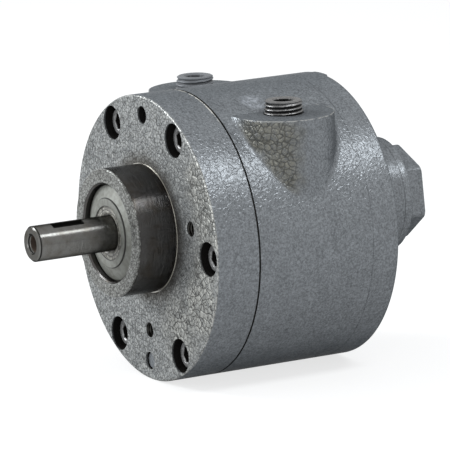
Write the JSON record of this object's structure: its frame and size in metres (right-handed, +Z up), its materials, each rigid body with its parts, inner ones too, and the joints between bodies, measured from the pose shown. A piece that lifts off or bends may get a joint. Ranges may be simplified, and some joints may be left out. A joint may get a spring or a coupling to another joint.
{
  "type": "air vane motor",
  "caption": "Hub-mounted rotary vane air motor with a round cast body, a keyed output shaft, capped air ports on top and a hexagonal rear bearing cap.",
  "frame": {"origin": "on the shaft's axis, in the front face of the drive end plate, where the hub begins", "axes": "+Y along the shaft towards the rear cap, so the shaft's free end points to -Y; +Z up, from the shaft towards the side with the ports; +X to the right seen from the shaft end"},
  "size_m": [0.153, 0.228, 0.153],
  "materials": {
    "housing_paint": "cast iron under a silver-grey hammered paint",
    "hub_steel": "turned steel, dark and oily, with paint on its front face",
    "cap_paint": "steel under the same hammered paint",
    "gasket": "pressed fibre sheet",
    "screw_steel": "steel, painted over with the housing",
    "dowel_steel": "ground steel",
    "plug_steel": "plated steel",
    "shaft_steel": "ground steel",
    "rotor_iron": "machined iron",
    "vane_laminate": "pressed laminate",
    "seal_metal": "thin pressed sheet",
    "rubber": "moulded rubber",
    "spring_steel": "spring steel",
    "bearing_steel": "polished steel",
    "cage_metal": "machined brass"
  },
  "bodies": {
    "housing": {"drive_end_plate": "housing_paint", "drive_end_hub": "hub_steel", "body_casting": "housing_paint", "dead_end_plate": "housing_paint", "drive_end_gasket": "gasket", "dead_end_gasket": "gasket", "drive_end_screws": "screw_steel", "dead_end_screws": "screw_steel", "drive_end_dowels": "dowel_steel", "dead_end_dowels": "dowel_steel", "port_plugs": "plug_steel", "end_cap": "cap_paint", "end_cap_oring": "rubber", "shaft_seal_case": "seal_metal", "shaft_seal_lip": "rubber", "seal_spring": "spring_steel", "preload_spring": "spring_steel", "drive_bearing_outer_ring": "bearing_steel", "drive_bearing_shields": "bearing_steel", "dead_bearing_outer_ring": "bearing_steel", "dead_bearing_shields": "bearing_steel"},
    "rotor": {"shaft": "shaft_steel", "rotor": "rotor_iron", "vane_1": "vane_laminate", "vane_2": "vane_laminate", "vane_3": "vane_laminate", "vane_4": "vane_laminate", "shaft_circlip": "spring_steel", "drive_bearing_inner_ring": "bearing_steel", "dead_bearing_inner_ring": "bearing_steel"},
    "drive_bearing_cage_body": {"drive_bearing_cage": "cage_metal", "drive_bearing_balls": "bearing_steel"},
    "dead_bearing_cage_body": {"dead_bearing_cage": "cage_metal", "dead_bearing_balls": "bearing_steel"}
  },
  "joints": [
    {"name": "rotor_spin", "type": "hinge", "parent": "housing", "child": "rotor", "pos_m": [0, 0, 0], "axis": [0, 1, 0], "continuous": true},
    {"name": "drive_cage_spin", "type": "hinge", "parent": "housing", "child": "drive_bearing_cage_body", "pos_m": [0, 0, 0], "axis": [0, 1, 0], "continuous": true},
    {"name": "dead_cage_spin", "type": "hinge", "parent": "housing", "child": "dead_bearing_cage_body", "pos_m": [0, 0, 0], "axis": [0, 1, 0], "continuous": true}
  ],
  "couplings": [
    {"joint": "drive_cage_spin", "follows": "rotor_spin", "ratio": 0.36771},
    {"joint": "dead_cage_spin", "follows": "rotor_spin", "ratio": 0.38152}
  ]
}
